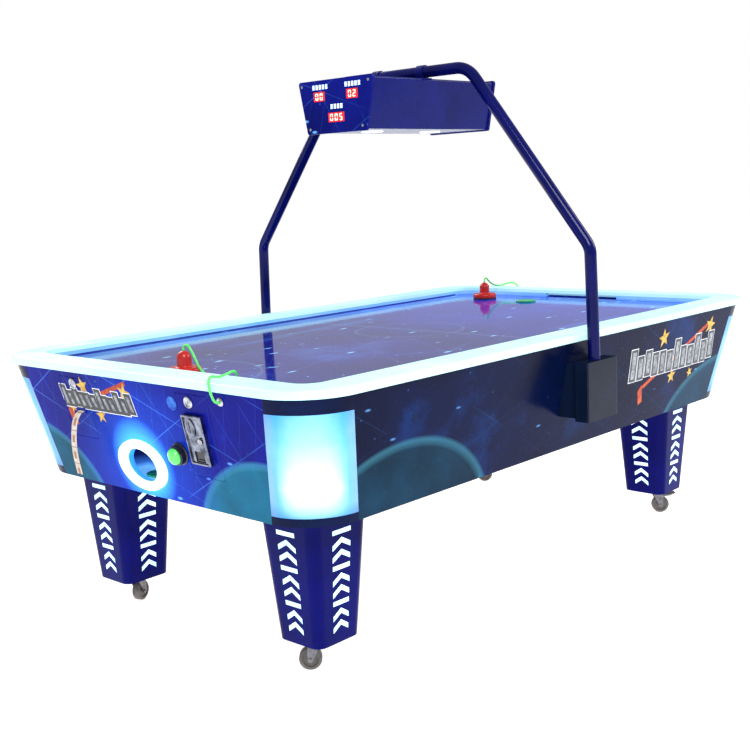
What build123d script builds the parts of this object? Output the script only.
"""Arcade air hockey table: lit cabinet on caster legs with a score gantry over the middle.

Millimetres. +Z is up, the floor is Z = 0 and the table stands centred on the origin. X runs along
the table from the near (coin door) end at -X to the far end at +X, and -Y is the front long side.
"""

from build123d import *
from math import atan, cos, degrees, pi, radians, sin, tan
import os

os.makedirs("parts", exist_ok=True)

# ---------------------------------------------------------------- driving dimensions
RIM_LENGTH, RIM_WIDTH = 2410, 1450      # outside of the lit rim
RIM_TOP, RIM_FOOT = 850, 827            # top face, and underside where it sits on the cabinet
RIM_BAND = 105                          # width of the rim between its edge and the field
RIM_LIP_UNDER = 837                     # underside of the thin inner lip over the rails
RAIL_WIDTH = 25                         # lip width, and the rail that fills it
LIP_JOINT = 0.1                         # hairline joint between the end boards and their lips
FIELD_CORNER = 60                       # radius of the field's corners
FIELD_TOP, FIELD_THICK = 821, 12
GOAL_WIDTH = 350
BODY_FOOT = 473                         # underside of the cabinet
BODY_INSET = 12                         # cabinet wall stands this far inside the rim's edge
BODY_CORNER = 160                       # outer corner radius, the same at every height
TAPER = 72                              # how far the walls lean in from rim to foot
WALL = 18
LEG_X, LEG_Y = 930, 436                 # leg centres
LEG_TOP, LEG_FOOT = 222, 166            # leg width under the cabinet and at its foot
CASTER_HEIGHT = 98
WHEEL_RADIUS, WHEEL_WIDTH, TRAIL = 32.5, 25, 28
TUBE_RADIUS, TUBE_WALL = 19, 2          # gantry tube
GANTRY_BASE = (757, 700)                # |Y|, Z of a point on the lower post
GANTRY_KNEE = (745, 1115)
GANTRY_SHOULDER = (292, 1695)
SLEEVE_Z = 1045                         # where the lower posts plug into the arch
BOX_HALF_LENGTH = 310                   # score box, without its display plates
MALLET_RADIUS, MALLET_HEIGHT, KNOB_RADIUS = 50, 70, 21
PUCK_RADIUS, PUCK_THICK = 41, 6.5
CORD_RADIUS = 3.5
GAP = 0.3                               # clearance between pieces that move apart
MALLET_NEAR, MALLET_FAR = (-1042, -58), (945, 385)
PUCK_ON_FIELD = (905, 140)

# ---------------------------------------------------------------- derived sizes
FIELD_X, FIELD_Y = RIM_LENGTH / 2 - RIM_BAND, RIM_WIDTH / 2 - RIM_BAND
ARC_X, ARC_Y = FIELD_X - FIELD_CORNER, FIELD_Y - FIELD_CORNER
TOP_X, TOP_Y = RIM_LENGTH / 2 - BODY_INSET, RIM_WIDTH / 2 - BODY_INSET
FOOT_X, FOOT_Y = TOP_X - TAPER, TOP_Y - TAPER
SLANT = TAPER / (RIM_FOOT - BODY_FOOT)  # horizontal lean per unit of height
LEAN = atan(SLANT)
FIELD_UNDER = FIELD_TOP - FIELD_THICK

# Outer faces of the slanted walls: local x to the viewer's right, y up the slope, z outward.
NEAR_FACE = Plane((-FOOT_X, 0, BODY_FOOT), x_dir=(0, -1, 0), z_dir=(-cos(LEAN), 0, -sin(LEAN)))
FAR_FACE = Plane((FOOT_X, 0, BODY_FOOT), x_dir=(0, 1, 0), z_dir=(cos(LEAN), 0, -sin(LEAN)))
BACK_FACE = Plane((0, FOOT_Y, BODY_FOOT), x_dir=(-1, 0, 0), z_dir=(0, cos(LEAN), -sin(LEAN)))

# Places of the end panel's fittings, in the face's own x and y.
PORT_AT, PORT_SIZE, RING_SIZE = (-35, 97), (71.5, 52), (109, 78)
BUTTON_AT = (158, 158)
COIN_DOOR_AT, COIN_DOOR_SIZE = (262, 220), (132, 241)
TICKET_DOOR_AT, TICKET_DOOR_SIZE = (-300, 246), (130, 190)
COIN_LOCK_AT, TICKET_LOCK_AT = (249, 318), (-297, 322)
EYELET_AT, EYELET_SEAT = (385, 333), 2.5
COIN_PLATE_AT, COIN_PLATE_SIZE = (257, 213), (82, 145)
FLAP_AT, FLAP_SIZE = (257, 165), (38, 28)
REJECT_AT = (277, 214)
TICKET_SLOT_AT, TICKET_WIDTH = (-285, 238), 27
DOOR_THICK, DOOR_GAP = 4, 1.5
INLET_AT = (190, 62)                    # power inlet on the back panel's face
BLOWER_X = 300


def wall_x(z):
    """Half length of the cabinet at height z."""
    return FOOT_X + SLANT * (z - BODY_FOOT)


def wall_y(z):
    """Half width of the cabinet at height z."""
    return FOOT_Y + SLANT * (z - BODY_FOOT)


def save(builder, name):
    """Label the finished piece and write its STEP file."""
    builder.part.label = name
    export_step(builder.part, f"parts/{name}.step")


def bend_radii(points):
    """Radius at each inner point of a route: as large as the two runs that meet there allow."""
    radii = []
    for before, corner, after in zip(points, points[1:], points[2:]):
        turn = (corner - before).get_angle(after - corner)
        shorter = min((corner - before).length, (after - corner).length)
        radii.append(0.45 * shorter / tan(radians(turn / 2)))
    return radii


# ---------------------------------------------------------------- cabinet walls
def wall_board(along_y, side):
    """A leaning wall board between two corners: side is +1 or -1 along the axis it faces."""
    reach, breadth = (wall_x, wall_y) if along_y else (wall_y, wall_x)
    front, edge_on = (Plane.YZ, Plane.XZ) if along_y else (Plane.XZ, Plane.YZ)
    foot, top = ((breadth(z) - BODY_CORNER, z) for z in (BODY_FOOT, RIM_FOOT))
    with BuildPart() as board:
        with BuildSketch(front):
            with BuildLine():
                Polyline(foot, top, (-top[0], top[1]), (-foot[0], foot[1]), close=True)
            make_face()
        extrude(amount=TOP_X, both=True)
        with BuildSketch(edge_on):
            with BuildLine():
                Polyline(
                    (side * reach(BODY_FOOT), BODY_FOOT), (side * reach(RIM_FOOT), RIM_FOOT),
                    (side * (reach(RIM_FOOT) - WALL), RIM_FOOT),
                    (side * (reach(BODY_FOOT) - WALL), BODY_FOOT), close=True,
                )
            make_face()
        extrude(amount=TOP_X, both=True, mode=Mode.INTERSECT)
    return board.part


def through(face, cuts, direction=None):
    """Cut through a wall, square to its face unless a direction is given: each cut draws its outline."""
    for place, draw in cuts:
        with BuildSketch(face) as hole:
            with Locations(place):
                draw()
        extrude(hole.sketch, amount=2 * WALL, dir=direction, both=True, mode=Mode.SUBTRACT)


def door_hole(size):
    """Outline of a door's opening, a running gap larger than the leaf all round."""
    return lambda: RectangleRounded(size[0] + 2 * DOOR_GAP, size[1] + 2 * DOOR_GAP, 5)


# The puck return's port is cut level, so that its sill meets the tray behind it.
RETURN_PORT = [(PORT_AT, lambda: Ellipse(*PORT_SIZE))]

with BuildPart() as side_panel_front:
    add(wall_board(along_y=False, side=-1))
save(side_panel_front, "side_panel_front")

with BuildPart() as side_panel_back:
    add(wall_board(along_y=False, side=1))
    through(BACK_FACE, [(INLET_AT, lambda: Rectangle(42, 28))])
save(side_panel_back, "side_panel_back")

with BuildPart() as end_panel_near:
    add(wall_board(along_y=True, side=-1))
    through(
        NEAR_FACE,
        [
            (BUTTON_AT, lambda: Circle(9)),
            (COIN_DOOR_AT, door_hole(COIN_DOOR_SIZE)),
            (TICKET_DOOR_AT, door_hole(TICKET_DOOR_SIZE)),
        ],
    )
    through(NEAR_FACE, RETURN_PORT, direction=(1, 0, 0))
save(end_panel_near, "end_panel_near")

with BuildPart() as end_panel_far:
    add(wall_board(along_y=True, side=1))
    through(FAR_FACE, RETURN_PORT, direction=(1, 0, 0))
save(end_panel_far, "end_panel_far")


# ---------------------------------------------------------------- rounded cabinet corners
LENS_FOOT, LENS_TOP, LENS_THICK = 498, 784, 5


def sector(z, inner, outer, start=0, sweep_angle=90):
    """Ring sector about the axis of the back far corner, on the level plane at z."""
    centre = (wall_x(z) - BODY_CORNER, wall_y(z) - BODY_CORNER)
    with BuildSketch(Plane.XY.offset(z)) as outline:
        with BuildLine():
            rim_arc = CenterArc(centre, outer, start, sweep_angle)
            bore_arc = CenterArc(centre, inner, start, sweep_angle)
            Line(rim_arc @ 0, bore_arc @ 0)
            Line(rim_arc @ 1, bore_arc @ 1)
        make_face()
    return outline.sketch


def leaning_sector(low, high, *size, mode=Mode.ADD):
    """Ring sector carried up the slant of the corner between two heights."""
    loft([sector(low, *size), sector(high, *size)], ruled=True, mode=mode)


def to_all_corners():
    """Repeat the back far corner's pieces at the other three corners."""
    mirror(about=Plane.XZ)
    mirror(about=Plane.YZ)


with BuildPart() as corner_shells:
    leaning_sector(BODY_FOOT, RIM_FOOT, BODY_CORNER - WALL, BODY_CORNER)
    leaning_sector(LENS_FOOT, LENS_TOP, BODY_CORNER - LENS_THICK, BODY_CORNER + 2, -3, 96,
                   mode=Mode.SUBTRACT)
    leaning_sector(LENS_FOOT + 14, LENS_TOP - 14, BODY_CORNER - WALL - 2, BODY_CORNER - 3, 8, 74,
                   mode=Mode.SUBTRACT)
    to_all_corners()
save(corner_shells, "corner_shells")

with BuildPart() as corner_lenses:
    leaning_sector(LENS_FOOT + GAP, LENS_TOP - GAP, BODY_CORNER - LENS_THICK + GAP, BODY_CORNER,
                   0.15, 89.7)
    to_all_corners()
save(corner_lenses, "corner_lenses")

with BuildPart() as floor_panel:
    with BuildSketch(Plane.XY.offset(BODY_FOOT)):
        RectangleRounded(2 * (FOOT_X - WALL - GAP), 2 * (FOOT_Y - WALL - GAP), BODY_CORNER - WALL)
        with Locations((BLOWER_X, 0)):
            with PolarLocations(75, 6):
                Circle(22, mode=Mode.SUBTRACT)
    extrude(amount=WALL)
save(floor_panel, "floor_panel")


# ---------------------------------------------------------------- lit rim and rebound rails
def section_plane(origin, outward, run):
    """Plane of a section drawn as distance outward from the field's edge, and height."""
    return Plane(origin, x_dir=outward, z_dir=run)


def rim_section(plane, start=0):
    """Section of the rim board, with its thin lip over the rail and eased outer edges."""
    outer = start + RIM_BAND
    with BuildSketch(plane) as outline:
        with BuildLine():
            Polyline(
                (start, RIM_LIP_UNDER), (start, RIM_TOP), (outer - 5, RIM_TOP), (outer - 1.5, RIM_TOP - 1.5),
                (outer, RIM_TOP - 5), (outer, RIM_FOOT + 2), (outer - 2, RIM_FOOT),
                (start + RAIL_WIDTH, RIM_FOOT), (start + RAIL_WIDTH, RIM_LIP_UNDER), close=True,
            )
        make_face()
    return outline.sketch


def rail_section(plane, start=0):
    """Section of the rebound rail, undercut at its foot."""
    with BuildSketch(plane) as outline:
        with BuildLine():
            Polyline(
                (start, FIELD_TOP + 4), (start, RIM_LIP_UNDER), (start + RAIL_WIDTH, RIM_LIP_UNDER),
                (start + RAIL_WIDTH, FIELD_TOP), (start + 2, FIELD_TOP), (start + 2, FIELD_TOP + 4),
                close=True,
            )
        make_face()
    return outline.sketch


FRONT_RUN = section_plane((ARC_X, -FIELD_Y, 0), (0, -1, 0), (-1, 0, 0))
NEAR_RUN = section_plane((-FIELD_X, -ARC_Y, 0), (-1, 0, 0), (0, 1, 0))
GOAL_POST_RUN = section_plane((FIELD_X, ARC_Y, 0), (1, 0, 0), (0, -1, 0))
CORNER_RUN = section_plane((ARC_X, ARC_Y, 0), (1, 0, 0), (0, -1, 0))
CORNER_AXIS = Axis((ARC_X, ARC_Y, 0), (0, 0, 1))

with BuildPart() as rim_boards:
    extrude(rim_section(NEAR_RUN), amount=2 * ARC_Y)
    # Over the goal mouth the lip is a strip of its own, with a hairline joint to the board.
    with BuildSketch(NEAR_RUN) as joint:
        with Locations((RAIL_WIDTH + LIP_JOINT / 2, RIM_TOP)):
            Rectangle(LIP_JOINT, 2 * RIM_BAND)
    extrude(joint.sketch, amount=2 * ARC_Y, mode=Mode.SUBTRACT)
    extrude(rim_section(FRONT_RUN), amount=2 * ARC_X)
    mirror(about=Plane.XZ)
    mirror(about=Plane.YZ)
save(rim_boards, "rim_boards")

with BuildPart() as rim_corners:
    revolve(rim_section(CORNER_RUN, FIELD_CORNER), axis=CORNER_AXIS, revolution_arc=90)
    to_all_corners()
save(rim_corners, "rim_corners")

with BuildPart() as rebound_rails_long:
    extrude(rail_section(FRONT_RUN), amount=2 * ARC_X)
    mirror(about=Plane.XZ)
save(rebound_rails_long, "rebound_rails_long")

with BuildPart() as rebound_rails_end:
    revolve(rail_section(CORNER_RUN, FIELD_CORNER), axis=CORNER_AXIS, revolution_arc=90)
    extrude(rail_section(GOAL_POST_RUN), amount=ARC_Y - GOAL_WIDTH / 2)
    to_all_corners()
save(rebound_rails_end, "rebound_rails_end")

# ---------------------------------------------------------------- playing field and air supply
GOAL_DROP_X = FIELD_X - 5               # the field ends just inside the goal mouth
AIR_BOX_X, AIR_BOX_Y, AIR_BOX_DEPTH = 1055, 600, 60
DUCT_RADIUS, DUCT_WALL = 58, 6

with BuildPart() as playfield:
    with BuildSketch(Plane.XY.offset(FIELD_UNDER)):
        RectangleRounded(2 * (FIELD_X + 60), 2 * (FIELD_Y + 60), BODY_CORNER - WALL)
        for side in (-1, 1):
            with Locations((side * (GOAL_DROP_X + 40), 0)):
                Rectangle(80, GOAL_WIDTH, mode=Mode.SUBTRACT)
    extrude(amount=FIELD_THICK)
save(playfield, "playfield")

with BuildPart() as air_box:
    with BuildSketch(Plane.XY.offset(FIELD_UNDER - AIR_BOX_DEPTH)):
        Rectangle(2 * AIR_BOX_X, 2 * AIR_BOX_Y)
    extrude(amount=AIR_BOX_DEPTH)
    with BuildSketch(Plane.XY.offset(FIELD_UNDER)):
        Rectangle(2 * AIR_BOX_X - 24, 2 * AIR_BOX_Y - 24)
    extrude(amount=-(AIR_BOX_DEPTH - 9), mode=Mode.SUBTRACT)
    with BuildSketch(Plane.XY.offset(FIELD_UNDER - AIR_BOX_DEPTH)):
        with Locations((BLOWER_X, 0)):
            Circle(DUCT_RADIUS - DUCT_WALL)
    extrude(amount=9, mode=Mode.SUBTRACT)
save(air_box, "air_box")

FLOOR_TOP = BODY_FOOT + WALL
DUCT_TOP = FIELD_UNDER - AIR_BOX_DEPTH
VOLUTE_RADIUS, VOLUTE_TOP = 140, FLOOR_TOP + 130
BLOWER_AXIS = Axis((BLOWER_X, 0, 0), (0, 0, 1))
BLOWER_SECTION = Plane((BLOWER_X, 0, 0), x_dir=(1, 0, 0), z_dir=(0, -1, 0))

with BuildPart() as blower_housing:
    with BuildSketch(BLOWER_SECTION):
        with BuildLine():
            Polyline(
                (0, FLOOR_TOP), (VOLUTE_RADIUS, FLOOR_TOP), (VOLUTE_RADIUS, VOLUTE_TOP),
                (DUCT_RADIUS, VOLUTE_TOP), (DUCT_RADIUS, DUCT_TOP),
                (DUCT_RADIUS - DUCT_WALL, DUCT_TOP), (DUCT_RADIUS - DUCT_WALL, VOLUTE_TOP - 6),
                (VOLUTE_RADIUS - 6, VOLUTE_TOP - 6), (VOLUTE_RADIUS - 6, FLOOR_TOP + 6),
                (0, FLOOR_TOP + 6), close=True,
            )
        make_face()
    revolve(axis=BLOWER_AXIS)
    with BuildSketch(Plane.XY.offset(FLOOR_TOP)):
        with Locations((BLOWER_X, 0)):
            with PolarLocations(75, 6):
                Circle(22)
    extrude(amount=6, mode=Mode.SUBTRACT)
save(blower_housing, "blower_housing")

MOTOR_TOP, SHAFT_RADIUS = FLOOR_TOP + 66, 5
FAN_FOOT, FAN_TOP = FLOOR_TOP + 24, FLOOR_TOP + 100

with BuildPart() as blower_motor:
    with BuildSketch(BLOWER_SECTION):
        with BuildLine():
            Polyline(
                (0, FLOOR_TOP + 6), (44, FLOOR_TOP + 6), (44, FLOOR_TOP + 12), (38, FLOOR_TOP + 12),
                (38, MOTOR_TOP), (SHAFT_RADIUS, MOTOR_TOP), (SHAFT_RADIUS, FAN_TOP - 10), (0, FAN_TOP - 10),
                close=True,
            )
        make_face()
    revolve(axis=BLOWER_AXIS)
save(blower_motor, "blower_motor")

with BuildPart() as blower_fan:
    with BuildSketch(Plane.XY.offset(MOTOR_TOP + 6)):
        with Locations((BLOWER_X, 0)):
            Circle(120)
            with PolarLocations(88, 8):
                Circle(14, mode=Mode.SUBTRACT)
    extrude(amount=5)
    with BuildSketch(Plane.XY.offset(MOTOR_TOP + 6)):
        with Locations((BLOWER_X, 0)):
            Circle(14)
    extrude(amount=FAN_TOP - MOTOR_TOP - 6)
    with BuildSketch(Plane.XY.offset(FAN_FOOT)):
        with Locations((BLOWER_X, 0)):
            with PolarLocations(108, 16):
                Rectangle(16, 3, rotation=35)
    extrude(amount=MOTOR_TOP + 8 - FAN_FOOT)
    with BuildSketch(Plane.XY.offset(FAN_FOOT)):
        with Locations((BLOWER_X, 0)):
            Circle(SHAFT_RADIUS + 0.06)
    extrude(amount=FAN_TOP - 10 - FAN_FOOT + 0.2, mode=Mode.SUBTRACT)
save(blower_fan, "blower_fan")

with BuildPart() as power_unit:
    with BuildSketch(Plane.XY.offset(FLOOR_TOP)):
        with Locations((-INLET_AT[0], FOOT_Y - 110)):
            Rectangle(240, 170)
    extrude(amount=75)
    with BuildSketch(BACK_FACE):
        with Locations(INLET_AT):
            Rectangle(40, 26)
    extrude(amount=-60)
    with BuildSketch(BACK_FACE):
        with Locations(INLET_AT):
            RectangleRounded(62, 36, 5)
            with GridLocations(50, 1, 2, 1):
                Circle(1.8, mode=Mode.SUBTRACT)
    extrude(amount=2.5)
    with BuildSketch(BACK_FACE.offset(2.5)):
        with Locations(INLET_AT):
            RectangleRounded(28, 20, 4)
    extrude(amount=-3.9, mode=Mode.SUBTRACT)
save(power_unit, "power_unit")

# ---------------------------------------------------------------- puck return at each end
CUP_FLOOR, CUP_BACK_X, CUP_HALF_WIDTH, CUP_WALL = 520, 1025, 157, 4
CUP_CENTRE_Y = 21                       # off centre, to leave the start button's stem free
CUP_TOP, CUP_TOP_X, CUP_BEND = FIELD_UNDER - 6, 1088, 640


def cup_section(inset):
    """Side outline of the chute behind the near port, shrunk by inset where it has a wall."""
    low = CUP_FLOOR - CUP_WALL + inset
    front = [-(wall_x(z) - WALL - GAP) for z in (low, CUP_TOP)]
    back = -CUP_BACK_X - inset + CUP_WALL
    with BuildSketch(Plane.XZ.offset(-CUP_CENTRE_Y)) as outline:
        with BuildLine():
            Polyline(
                (front[0], low), (back, low), (back, CUP_BEND), (-CUP_TOP_X - inset, CUP_TOP),
                (front[1], CUP_TOP), close=True,
            )
        make_face()
    return outline.sketch


with BuildPart() as return_cups:
    extrude(cup_section(0), amount=CUP_HALF_WIDTH + CUP_WALL, both=True)
    extrude(cup_section(CUP_WALL), amount=CUP_HALF_WIDTH, both=True, mode=Mode.SUBTRACT)
    near_cup = return_cups.part
    add(near_cup.rotate(Axis.Z, 180))
save(return_cups, "return_cups")

with BuildPart() as return_ring_lights:
    for face in (NEAR_FACE, FAR_FACE):
        with BuildSketch(face):
            with Locations(PORT_AT):
                Ellipse(*RING_SIZE)
                Ellipse(*PORT_SIZE, mode=Mode.SUBTRACT)
        extrude(amount=12)
    for face in (NEAR_FACE, FAR_FACE):
        front = return_ring_lights.faces().sort_by(lambda f: f.center().dot(face.z_dir))[-1]
        fillet(front.edges(), 5)
save(return_ring_lights, "return_ring_lights")


# ---------------------------------------------------------------- start button
def turned(face, place, outline):
    """A piece turned about the face's normal at a place: outline is (radius, height) points."""
    origin = face.from_local_coords(Vector(*place, 0))
    section = Plane(origin, x_dir=face.x_dir, z_dir=-face.y_dir)
    with BuildSketch(section) as profile:
        with BuildLine():
            Polyline(*outline, close=True)
        make_face()
    revolve(profile.sketch, axis=Axis(origin, face.z_dir))


BEZEL_RADIUS, DOME_RADIUS, BUTTON_TRAVEL = 29, 23.5, 5

with BuildPart() as start_button_bezel:
    turned(NEAR_FACE, BUTTON_AT, [
        (8.6, 0), (BEZEL_RADIUS + 4, 0), (BEZEL_RADIUS + 4, 3), (BEZEL_RADIUS, 5),
        (BEZEL_RADIUS, 19), (BEZEL_RADIUS - 3, 22), (DOME_RADIUS + 0.6, 22), (DOME_RADIUS + 0.6, 2),
        (8.6, 2),
    ])
save(start_button_bezel, "start_button_bezel")

with BuildPart() as start_button:
    turned(NEAR_FACE, BUTTON_AT, [
        (0, -30), (8, -30), (8, 8), (DOME_RADIUS, 8), (DOME_RADIUS, 26), (DOME_RADIUS - 2, 30),
        (DOME_RADIUS - 7, 33), (DOME_RADIUS - 14, 35), (0, 35.8),
    ])
save(start_button, "start_button")


# ---------------------------------------------------------------- coin door and its fittings
def door_leaf(place, size, holes):
    """Steel leaf flush with the near end panel."""
    with BuildSketch(NEAR_FACE) as leaf:
        with Locations(place):
            RectangleRounded(*size, 4)
        for hole_place, draw in holes:
            with Locations(hole_place):
                draw(Mode.SUBTRACT)
    extrude(leaf.sketch, amount=-DOOR_THICK)


LOCK_HOLE, MECH_SIZE, MECH_AT = 9.6, (56, 78), (254, 243)

with BuildPart() as coin_door:
    door_leaf(COIN_DOOR_AT, COIN_DOOR_SIZE, [
        (COIN_LOCK_AT, lambda mode: Circle(LOCK_HOLE, mode=mode)),
        (FLAP_AT, lambda mode: Rectangle(FLAP_SIZE[0] + 4, FLAP_SIZE[1] + 6, mode=mode)),
        (REJECT_AT, lambda mode: Circle(6, mode=mode)),
        (MECH_AT, lambda mode: Rectangle(*MECH_SIZE, mode=mode)),
    ])
save(coin_door, "coin_door")

with BuildPart() as coin_plate:
    with BuildSketch(NEAR_FACE):
        with Locations(COIN_PLATE_AT):
            RectangleRounded(*COIN_PLATE_SIZE, 5)
    extrude(amount=14)
    fillet(coin_plate.faces().sort_by(lambda f: f.center().dot(NEAR_FACE.z_dir))[-1].edges(), 3)
    with BuildSketch(NEAR_FACE.offset(14)):
        with Locations(COIN_PLATE_AT):
            RectangleRounded(COIN_PLATE_SIZE[0] - 12, COIN_PLATE_SIZE[1] - 12, 4)
    extrude(amount=-4, mode=Mode.SUBTRACT)
    with BuildSketch(NEAR_FACE.offset(10)):
        with Locations((245, 248)):
            Ellipse(19, 27)
    extrude(amount=3)
    with BuildSketch(NEAR_FACE.offset(13)):
        with Locations((245, 250)):
            Rectangle(3.4, 30)
    extrude(amount=-11, mode=Mode.SUBTRACT)
    with BuildSketch(NEAR_FACE):
        with Locations(MECH_AT):
            Rectangle(MECH_SIZE[0] - 1, MECH_SIZE[1] - 1)
    extrude(amount=-42)
    with BuildSketch(NEAR_FACE):
        with Locations(FLAP_AT):
            Rectangle(FLAP_SIZE[0] + 1.2, FLAP_SIZE[1] + 3)
        with Locations(REJECT_AT):
            Circle(9.4)
    extrude(amount=20, both=True, mode=Mode.SUBTRACT)
save(coin_plate, "coin_plate")

with BuildPart() as coin_reject_button:
    turned(NEAR_FACE, REJECT_AT, [
        (0, -14), (5.5, -14), (5.5, 4.5), (9, 4.5), (9, 15), (7.5, 16.5), (0, 16.5),
    ])
save(coin_reject_button, "coin_reject_button")

FLAP_HINGE_Y = FLAP_AT[1] + FLAP_SIZE[1] / 2
with BuildPart() as coin_return_flap:
    with BuildSketch(NEAR_FACE.offset(5)):
        with Locations(FLAP_AT):
            Rectangle(*FLAP_SIZE)
    extrude(amount=1.6)
    with BuildSketch(NEAR_FACE.offset(5)):
        with Locations((FLAP_AT[0], FLAP_AT[1] - FLAP_SIZE[1] / 2 + 3)):
            Rectangle(FLAP_SIZE[0] - 10, 4)
    extrude(amount=4)
save(coin_return_flap, "coin_return_flap")


def cam_lock(place, reach):
    """Cam lock: round keyed face, barrel through the leaf and a tongue behind it, unlocked."""
    turned(NEAR_FACE, place, [(0, -28), (LOCK_HOLE - 0.6, -28), (LOCK_HOLE - 0.6, 0.3), (17.5, 0.3),
                              (17.5, 2.5), (15.5, 4), (12, 4), (10.5, 2.6), (0, 2.6)])
    with BuildSketch(NEAR_FACE.offset(2.6)) as keyway:
        with Locations(place):
            Rectangle(2, 9)
    extrude(keyway.sketch, amount=-2, mode=Mode.SUBTRACT)
    with BuildSketch(NEAR_FACE.offset(-24)) as tongue:
        with Locations((place[0] + (reach - 8) / 2, place[1])):
            Rectangle(reach + 8, 14)
    extrude(tongue.sketch, amount=-3)


with BuildPart() as coin_door_lock:
    cam_lock(COIN_LOCK_AT, 33)
save(coin_door_lock, "coin_door_lock")

# ---------------------------------------------------------------- ticket door and its fittings
with BuildPart() as ticket_door:
    door_leaf(TICKET_DOOR_AT, TICKET_DOOR_SIZE, [
        (TICKET_LOCK_AT, lambda mode: Circle(LOCK_HOLE, mode=mode)),
        (TICKET_SLOT_AT, lambda mode: Rectangle(TICKET_WIDTH + 4, 8, mode=mode)),
    ])
    with BuildSketch(NEAR_FACE):
        with Locations(TICKET_SLOT_AT):
            RectangleRounded(TICKET_WIDTH + 14, 18, 3)
            Rectangle(TICKET_WIDTH + 4, 8, mode=Mode.SUBTRACT)
    extrude(amount=3)
save(ticket_door, "ticket_door")

with BuildPart() as ticket_door_lock:
    cam_lock(TICKET_LOCK_AT, 31)
save(ticket_door_lock, "ticket_door_lock")

TICKET_Y = -TICKET_SLOT_AT[0]
TICKET_SLOT_Z = BODY_FOOT + TICKET_SLOT_AT[1] * cos(LEAN)
TICKET_SLOT_X = -wall_x(TICKET_SLOT_Z)
TICKET_THICK = 0.8
TICKET_ROUTE = [(14, 1), (-12, -3), (-30, -30), (-38, -80), (-37, -130), (-26, -190)]
with BuildPart() as ticket_strip:
    route = [Vector(TICKET_SLOT_X + out, TICKET_SLOT_Z + down) for out, down in TICKET_ROUTE]
    with BuildSketch(Plane.XZ.offset(-TICKET_Y)):
        with BuildLine():
            hang = FilletPolyline(*route, radius=bend_radii(route))
        trace(line_width=TICKET_THICK)
    extrude(amount=TICKET_WIDTH / 2, both=True)
print("ticket_strip length", round(hang.length))
save(ticket_strip, "ticket_strip")

with BuildPart() as tether_eyelets:
    for face in (NEAR_FACE, FAR_FACE):
        turned(face, EYELET_AT, [(0, 0), (12, 0), (12, 2), (9.5, 4.5), (CORD_RADIUS + 1, 4.5),
                                 (CORD_RADIUS + 0.1, EYELET_SEAT), (0, EYELET_SEAT)])
save(tether_eyelets, "tether_eyelets")

# ---------------------------------------------------------------- legs and casters
LEG_PLACES = {"near_front": (-1, -1), "near_back": (-1, 1), "far_front": (1, -1), "far_back": (1, 1)}
CASTER_HEADING = {"near_front": 133, "near_back": 20, "far_front": -45, "far_back": -47}
LEG_WALL, LEG_PLATE = 8, 10


def leg_block(inset, foot, mode=Mode.ADD):
    """Tapered square block with rounded edges, shrunk by inset."""
    sections = []
    for z, width, radius in ((foot, LEG_FOOT, 30), (BODY_FOOT, LEG_TOP, 35)):
        with BuildSketch(leg_axis.offset(z)) as section:
            RectangleRounded(width - 2 * inset, width - 2 * inset, radius - inset)
        sections.append(section.sketch)
    loft(sections, ruled=True, mode=mode)


for corner, (sign_x, sign_y) in LEG_PLACES.items():
    leg_axis = Plane((sign_x * LEG_X, sign_y * LEG_Y, 0))
    with BuildPart() as leg:
        leg_block(0, CASTER_HEIGHT)
        leg_block(LEG_WALL, CASTER_HEIGHT + LEG_PLATE, Mode.SUBTRACT)
    save(leg, f"leg_{corner}")

SWIVEL_RADIUS, KINGPIN_RADIUS, AXLE_RADIUS = 24, 6, 4
PLATE_FOOT, RACE_FOOT = CASTER_HEIGHT - 4, CASTER_HEIGHT - 10
FORK_TOP, FORK_PLATE = RACE_FOOT - GAP, 4
CHEEK_AT, CHEEK_THICK = 15.2, 3
BRAKE_PIVOT = (41, 70)                  # along the trail, height

with BuildPart() as caster_plates:
    with BuildSketch(Plane.XY.offset(PLATE_FOOT)):
        with GridLocations(2 * LEG_X, 2 * LEG_Y, 2, 2):
            RectangleRounded(90, 90, 8)
    extrude(amount=4)
    with BuildSketch(Plane.XY.offset(RACE_FOOT)):
        with GridLocations(2 * LEG_X, 2 * LEG_Y, 2, 2):
            Circle(SWIVEL_RADIUS - 2)
    extrude(amount=6)
    with BuildSketch(Plane.XY.offset(RACE_FOOT - 10)):
        with GridLocations(2 * LEG_X, 2 * LEG_Y, 2, 2):
            Circle(KINGPIN_RADIUS)
    extrude(amount=10)
save(caster_plates, "caster_plates")


def caster_frame(corner):
    """Vertical plane through the swivel axis: local x along the trail, y up, z along the axle."""
    sign_x, sign_y = LEG_PLACES[corner]
    heading = radians(CASTER_HEADING[corner])
    along = (cos(heading), sin(heading), 0)
    across = (sin(heading), -cos(heading), 0)
    return Plane((sign_x * LEG_X, sign_y * LEG_Y, 0), x_dir=along, z_dir=across)


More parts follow.
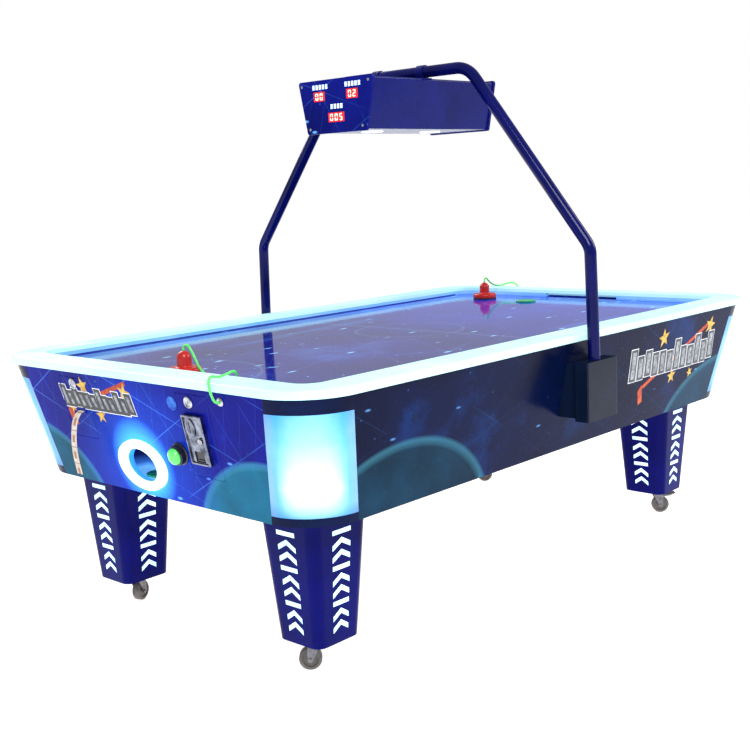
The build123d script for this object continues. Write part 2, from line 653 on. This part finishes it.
for corner in LEG_PLACES:
    frame = caster_frame(corner)
    braked = corner.startswith("far")
    with BuildPart() as fork:
        with BuildSketch(Plane(frame.origin).offset(FORK_TOP - FORK_PLATE)):
            Circle(SWIVEL_RADIUS)
        extrude(amount=FORK_PLATE)
        for side in (-1, 1):
            with BuildSketch(frame.offset(side * CHEEK_AT)):
                with BuildLine():
                    Polyline((-10, FORK_TOP), (18, FORK_TOP), (46 if braked else 34, 74), (TRAIL + 8, 58),
                             (TRAIL + 8, WHEEL_RADIUS), (TRAIL - 8, WHEEL_RADIUS), close=True)
                make_face()
                with Locations((TRAIL, WHEEL_RADIUS)):
                    Circle(9)
            extrude(amount=side * CHEEK_THICK)
        with BuildSketch(frame):
            with Locations((TRAIL, WHEEL_RADIUS)):
                Circle(AXLE_RADIUS)
            if braked:
                with Locations(BRAKE_PIVOT):
                    Circle(2.5)
        extrude(amount=CHEEK_AT + CHEEK_THICK + 3, both=True)
        with BuildSketch(Plane(frame.origin).offset(FORK_TOP - FORK_PLATE)):
            Circle(KINGPIN_RADIUS + 0.08)
        extrude(amount=FORK_PLATE, mode=Mode.SUBTRACT)
    save(fork, f"caster_fork_{corner}")

    with BuildPart() as wheel:
        with BuildSketch(frame):
            with Locations((TRAIL, WHEEL_RADIUS)):
                Circle(WHEEL_RADIUS)
        extrude(amount=WHEEL_WIDTH / 2, both=True)
        chamfer(wheel.edges().filter_by(GeomType.CIRCLE), 2.5)
        for side in (-1, 1):
            with BuildSketch(frame.offset(side * WHEEL_WIDTH / 2)):
                with Locations((TRAIL, WHEEL_RADIUS)):
                    Circle(WHEEL_RADIUS - 9)
                    Circle(9, mode=Mode.SUBTRACT)
            extrude(amount=-side * 4, mode=Mode.SUBTRACT)
        with BuildSketch(frame):
            with Locations((TRAIL, WHEEL_RADIUS)):
                Circle(9)
        extrude(amount=CHEEK_AT - 0.5, both=True)
        with BuildSketch(frame):
            with Locations((TRAIL, WHEEL_RADIUS)):
                Circle(AXLE_RADIUS + 0.08)
        extrude(amount=CHEEK_AT, both=True, mode=Mode.SUBTRACT)
    save(wheel, f"caster_wheel_{corner}")

    if braked:
        with BuildPart() as brake_pedal:
            with BuildSketch(frame):
                with Locations(BRAKE_PIVOT):
                    Circle(5)
                with BuildLine():
                    Polyline((40, 69), (86, 78), (88, 76), (62, 66), (43, 65.3), close=True)
                make_face()
            extrude(amount=CHEEK_AT - 0.6, both=True)
            with BuildSketch(frame):
                with Locations(BRAKE_PIVOT):
                    Circle(2.58)
            extrude(amount=CHEEK_AT, both=True, mode=Mode.SUBTRACT)
        save(brake_pedal, f"brake_pedal_{corner}")


# ---------------------------------------------------------------- gantry
def post_point(z):
    """|Y| of the leaning lower post at height z."""
    (low_y, low_z), (high_y, high_z) = GANTRY_BASE, GANTRY_KNEE
    return low_y + (high_y - low_y) * (z - low_z) / (high_z - low_z)


POST_FOOT = 620
POST_DIRECTION = (0, post_point(1000) - post_point(0), 1000)
POST_BASE = Plane((0, post_point(POST_FOOT), POST_FOOT), z_dir=POST_DIRECTION)
POST_LENGTH = (SLEEVE_Z - POST_FOOT) / cos(atan(POST_DIRECTION[1] / POST_DIRECTION[2]))
BORE = TUBE_RADIUS - TUBE_WALL

with BuildPart() as gantry_posts:
    with BuildSketch(POST_BASE):
        Circle(TUBE_RADIUS)
        Circle(BORE, mode=Mode.SUBTRACT)
    extrude(amount=POST_LENGTH)
    with BuildSketch(POST_BASE.offset(POST_LENGTH - 40)):
        Circle(BORE)
    extrude(amount=40)
    with BuildSketch(POST_BASE.offset(POST_LENGTH)):
        Circle(BORE - 0.2)
    extrude(amount=40)
    mirror(about=Plane.XZ)
save(gantry_posts, "gantry_posts")

SLEEVE_END = POST_BASE.offset(POST_LENGTH + 0.8)
with BuildPart() as gantry_arch:
    with BuildLine() as arch_line:
        FilletPolyline(
            SLEEVE_END.origin, (0, *GANTRY_KNEE), (0, *GANTRY_SHOULDER),
            (0, -GANTRY_SHOULDER[0], GANTRY_SHOULDER[1]), (0, -GANTRY_KNEE[0], GANTRY_KNEE[1]),
            (0, -SLEEVE_END.origin.Y, SLEEVE_END.origin.Z), radius=[70, 95, 95, 70],
        )
    with BuildSketch(Plane(arch_line.line @ 0, x_dir=(1, 0, 0), z_dir=arch_line.line % 0)):
        Circle(TUBE_RADIUS)
        Circle(BORE, mode=Mode.SUBTRACT)
    sweep()
save(gantry_arch, "gantry_arch")

COVER_FOOT, COVER_TOP, COVER_BACK, COVER_FRONT = 585, 770, 735, 785
with BuildPart() as gantry_brackets:
    with BuildSketch(Plane.XY.offset(COVER_FOOT)):
        with Locations((0, (COVER_BACK + COVER_FRONT) / 2)):
            RectangleRounded(170, COVER_FRONT - COVER_BACK, 5)
    extrude(amount=COVER_TOP - COVER_FOOT)
    with BuildSketch(Plane.YZ.offset(-70)):
        with BuildLine():
            Polyline(
                (COVER_BACK + 5, COVER_FOOT + 6), (COVER_BACK + 5, COVER_TOP - 6),
                (wall_y(COVER_TOP - 6) + GAP, COVER_TOP - 6),
                (wall_y(COVER_FOOT + 6) + GAP, COVER_FOOT + 6), close=True,
            )
        make_face()
    extrude(amount=140)
    with BuildSketch(POST_BASE):
        Circle(TUBE_RADIUS + GAP)
    extrude(amount=COVER_TOP, mode=Mode.SUBTRACT)
    mirror(about=Plane.XZ)
save(gantry_brackets, "gantry_brackets")

BOX_TOP, BOX_FOOT = (162, 1668), (128, 1507)
STRAP_Y, STRAP_RADIUS, STRAP_WIDTH = 100, 23, 30


def box_outline(plane, inset=0, corner=6):
    """Trapezoid section of the score box in the plane across the table."""
    (top_y, top_z), (foot_y, foot_z) = BOX_TOP, BOX_FOOT
    with BuildSketch(plane) as outline:
        with BuildLine():
            Polyline(
                (-top_y + inset, top_z - inset), (top_y - inset, top_z - inset),
                (foot_y - inset, foot_z + inset), (-foot_y + inset, foot_z + inset), close=True,
            )
        make_face()
        fillet(outline.vertices(), corner)
    return outline.sketch


with BuildPart() as score_box:
    extrude(box_outline(Plane.YZ), amount=BOX_HALF_LENGTH, both=True)
    extrude(box_outline(Plane.YZ, 3, 4), amount=BOX_HALF_LENGTH, both=True, mode=Mode.SUBTRACT)
    with BuildSketch(Plane.XY.offset(BOX_TOP[1] - 1)):
        with GridLocations(1, 2 * STRAP_Y, 1, 2):
            Rectangle(64, STRAP_WIDTH)
    extrude(amount=GANTRY_SHOULDER[1] - TUBE_RADIUS - BOX_TOP[1] + 1)
    for place in (-STRAP_Y, STRAP_Y):
        with BuildSketch(Plane.XZ.offset(-place)):
            with Locations((0, GANTRY_SHOULDER[1])):
                Circle(STRAP_RADIUS)
        extrude(amount=STRAP_WIDTH / 2, both=True)
    with BuildSketch(Plane.XZ):
        with Locations((0, GANTRY_SHOULDER[1])):
            Circle(TUBE_RADIUS + 0.1)
    extrude(amount=STRAP_Y + STRAP_WIDTH, both=True, mode=Mode.SUBTRACT)
    with BuildSketch(Plane.XY.offset(BOX_FOOT[1] - 1)):
        with GridLocations(300, 1, 2, 1):
            Circle(30)
    extrude(amount=6, mode=Mode.SUBTRACT)
save(score_box, "score_box")

PLATE_THICK, SCREW_INSET = 10, 13
WINDOWS = (((-74, 1621), (54, 34)), ((74, 1621), (54, 34)), ((0, 1552), (76, 34)))
SCREWS = [(side * (BOX_TOP[0] - SCREW_INSET), BOX_TOP[1] - 11) for side in (-1, 1)]
SCREWS += [(side * (BOX_FOOT[0] - SCREW_INSET + 3), BOX_FOOT[1] + 11) for side in (-1, 1)]

with BuildPart() as display_plates:
    for side in (-1, 1):
        inner_face = Plane.YZ.offset(side * BOX_HALF_LENGTH)
        extrude(box_outline(inner_face, -5, 9), amount=side * PLATE_THICK)
        with BuildSketch(inner_face.offset(side * PLATE_THICK)):
            for place, size in WINDOWS:
                with Locations(place):
                    RectangleRounded(*size, 2)
        extrude(amount=-side * 2, mode=Mode.SUBTRACT)
        with BuildSketch(inner_face):
            with Locations(*SCREWS):
                Circle(2.6)
        extrude(amount=side * PLATE_THICK, mode=Mode.SUBTRACT)
save(display_plates, "display_plates")

with BuildPart() as display_screws:
    for side in (-1, 1):
        with BuildSketch(Plane.YZ.offset(side * (BOX_HALF_LENGTH + PLATE_THICK))):
            with Locations(*SCREWS):
                Circle(4.6)
        extrude(amount=side * 2.4)
        with BuildSketch(Plane.YZ.offset(side * BOX_HALF_LENGTH)):
            with Locations(*SCREWS):
                Circle(2.5)
        extrude(amount=side * PLATE_THICK)
save(display_screws, "display_screws")

with BuildPart() as downlights:
    with BuildSketch(Plane.XY.offset(BOX_FOOT[1] - 3)):
        with GridLocations(300, 1, 2, 1):
            Circle(36)
    extrude(amount=3)
    with BuildSketch(Plane.XY.offset(BOX_FOOT[1])):
        with GridLocations(300, 1, 2, 1):
            Circle(29.5)
    extrude(amount=22)
    with BuildSketch(Plane.XY.offset(BOX_FOOT[1] - 3)):
        with GridLocations(300, 1, 2, 1):
            Circle(27)
    extrude(amount=1.5, mode=Mode.SUBTRACT)
save(downlights, "downlights")

# ---------------------------------------------------------------- mallets, pucks and tethers
PLAY_Z = FIELD_TOP + GAP                # underside of what slides on the field
FELT_THICK, FLANGE_TOP, KNOB_TOP = 5, 24, PLAY_Z + MALLET_HEIGHT


def mallet(place):
    """Domed knob on a rounded flange, turned in one piece."""
    with BuildSketch(Plane((*place, PLAY_Z), x_dir=(1, 0, 0), z_dir=(0, -1, 0))) as profile:
        with BuildLine():
            low, high = MALLET_HEIGHT - KNOB_RADIUS, MALLET_HEIGHT
            base = Line((0, FELT_THICK), (MALLET_RADIUS - 2, FELT_THICK))
            rise = Line(base @ 1, (MALLET_RADIUS, FELT_THICK + 3))
            wall = Line(rise @ 1, (MALLET_RADIUS, FLANGE_TOP - 9))
            shoulder = TangentArc(wall @ 1, (MALLET_RADIUS - 9, FLANGE_TOP), tangent=(0, 1))
            deck = Line(shoulder @ 1, (KNOB_RADIUS + 5, FLANGE_TOP))
            neck = TangentArc(deck @ 1, (KNOB_RADIUS, FLANGE_TOP + 5), tangent=(-1, 0))
            grip = Line(neck @ 1, (KNOB_RADIUS, low))
            dome = TangentArc(grip @ 1, (4, high - 0.4), tangent=(0, 1))
            crown = Line(dome @ 1, (4, high))
            Line(crown @ 1, (0, high))
            Line((0, high), (0, FELT_THICK))
        make_face()
    revolve(profile.sketch, axis=Axis((*place, 0), (0, 0, 1)))


def felt(place):
    """Felt pad stuck under a mallet."""
    with BuildSketch(Plane.XY.offset(PLAY_Z)) as ring:
        with Locations(place):
            Circle(MALLET_RADIUS - 1)
            Circle(18, mode=Mode.SUBTRACT)
    extrude(ring.sketch, amount=FELT_THICK)


def puck(place, z):
    """Flat puck with eased edges and a shallow dish in each face."""
    with BuildSketch(Plane.XY.offset(z)) as disc:
        with Locations(place):
            Circle(PUCK_RADIUS)
    blank = extrude(disc.sketch, amount=PUCK_THICK)
    fillet(blank.edges().filter_by(GeomType.CIRCLE), 1.5)
    with BuildSketch(Plane.XY.offset(z + PUCK_THICK)) as dish:
        with Locations(place):
            Circle(PUCK_RADIUS - 9)
    extrude(dish.sketch, amount=-0.8, mode=Mode.SUBTRACT)


for end, place in (("near", MALLET_NEAR), ("far", MALLET_FAR)):
    with BuildPart() as striker:
        mallet(place)
    save(striker, f"mallet_{end}")
    with BuildPart() as pad:
        felt(place)
    save(pad, f"mallet_felt_{end}")

RETURNED_PUCK = (-1070, 55)
with BuildPart() as puck_field:
    puck(PUCK_ON_FIELD, PLAY_Z)
save(puck_field, "puck_field")
with BuildPart() as puck_returned:
    puck(RETURNED_PUCK, CUP_FLOOR + GAP)
save(puck_returned, "puck_returned")

# Each tether leaves the knob's crown, drops to the field or the rim, passes over the lit rim's
# outer edge and ends in the eyelet under it.
NEAR_EYE = [NEAR_FACE.from_local_coords(Vector(*EYELET_AT, w)) for w in (20, EYELET_SEAT)]
FAR_EYE = [FAR_FACE.from_local_coords(Vector(*EYELET_AT, w)) for w in (20, EYELET_SEAT)]
NEAR_ROUTE = [
    (-1042, -58, KNOB_TOP + GAP), (-1042, -58, KNOB_TOP + 14), (-1041, -78, KNOB_TOP + 19),
    (-1039, -93, 890), (-1038, -105, 868), (-1037, -117, 847), (-1036, -136, 831), (-1036, -162, 826),
    (-1040, -206, 825.5), (-1054, -250, 826), (-1070, -292, 827), (-1081, -322, 833), (-1086, -338, 854),
    (-1104, -346, 867), (-1138, -350, 859), (-1172, -357, 859), (-1199, -367, 868),
    (-1217, -375, 852), *NEAR_EYE,
]
FAR_ROUTE = [
    (945, 385, KNOB_TOP + GAP), (945, 385, KNOB_TOP + 13), (962, 389, KNOB_TOP + 21), (992, 396, 893),
    (1030, 405, 875), (1072, 412, 866), (1114, 426, 862), (1152, 439, 859), (1182, 436, 866),
    (1205, 420, 868), (1218, 402, 852), *FAR_EYE,
]


def tether(name, route):
    """Cord tube: straight runs joined by arcs as large as the two runs allow."""
    points = [Vector(*point) for point in route]
    radii = bend_radii(points)
    with BuildPart() as tube:
        with BuildLine() as line:
            FilletPolyline(*points, radius=radii)
        with BuildSketch(Plane(line.line @ 0, z_dir=line.line % 0)):
            Circle(CORD_RADIUS)
        sweep()
    length = line.wire().length
    share = tube.part.volume / (pi * CORD_RADIUS ** 2 * length)
    print(name, "length", round(length), "volume / section x length", round(share, 4))
    print("  radii", [round(radius) for radius in radii])
    print("  runs", [round((b - a).length) for a, b in zip(points, points[1:])])
    save(tube, name)


tether("tether_near", NEAR_ROUTE)
tether("tether_far", FAR_ROUTE)
